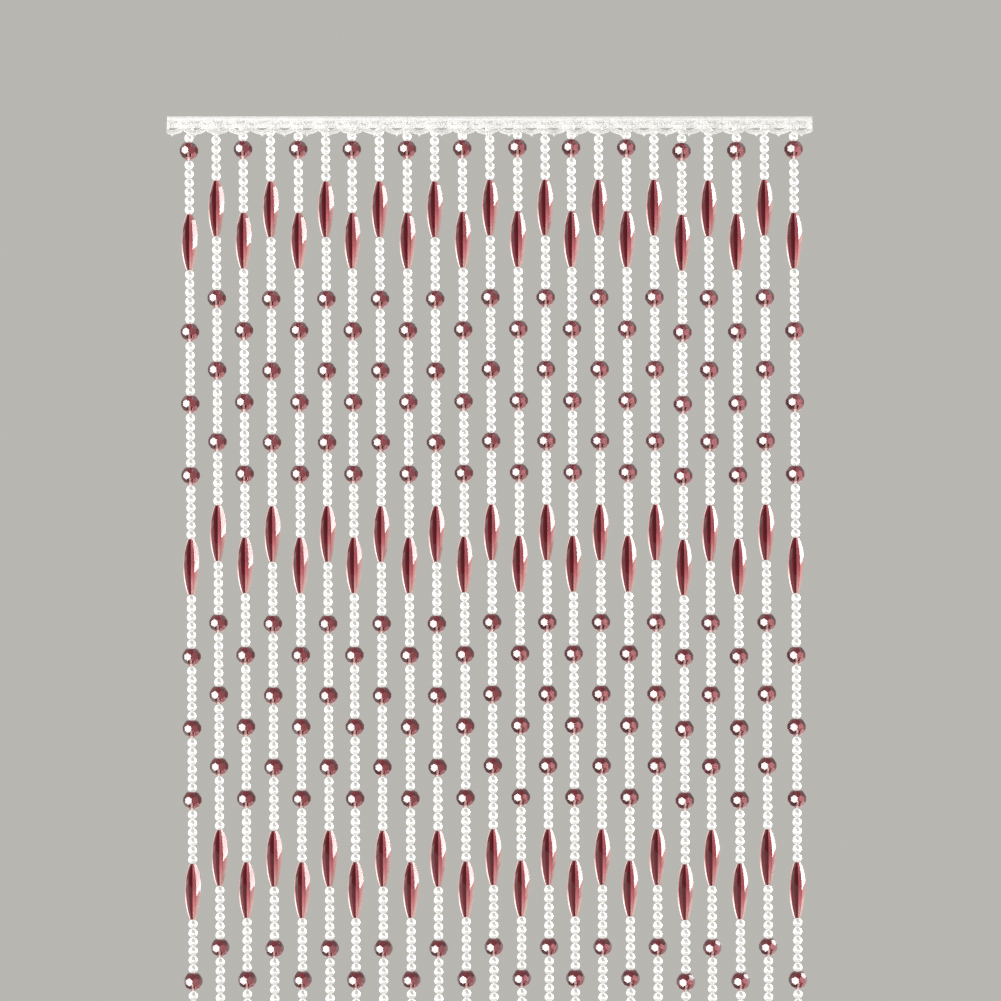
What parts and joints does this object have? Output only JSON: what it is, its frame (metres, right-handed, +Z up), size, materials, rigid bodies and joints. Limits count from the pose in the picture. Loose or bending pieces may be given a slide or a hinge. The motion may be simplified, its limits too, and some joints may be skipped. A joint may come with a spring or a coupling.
{
  "type": "bead curtain",
  "caption": "Doorway bead curtain: strands of white pearls, faceted wine red balls and long spindles hang from a narrow tape behind a scalloped white lace trim.",
  "frame": {"origin": "the middle of the header tape's top edge, halfway through its thickness", "axes": "+Z up, +X along the header to the viewer's right, -Y the front, with the lace trim"},
  "size_m": [0.8002, 0.0234, 1.8131],
  "materials": {
    "white_pearl": "pearl gloss",
    "wine_acrylic": "clear faceted gloss",
    "white_lace": "openwork",
    "cotton_tape": "woven matte",
    "nylon_thread": "clear thread"
  },
  "bodies": {
    "root": {"beaded_tape": "white_pearl", "lace_trim": "white_lace"}
  },
  "joints": []
}
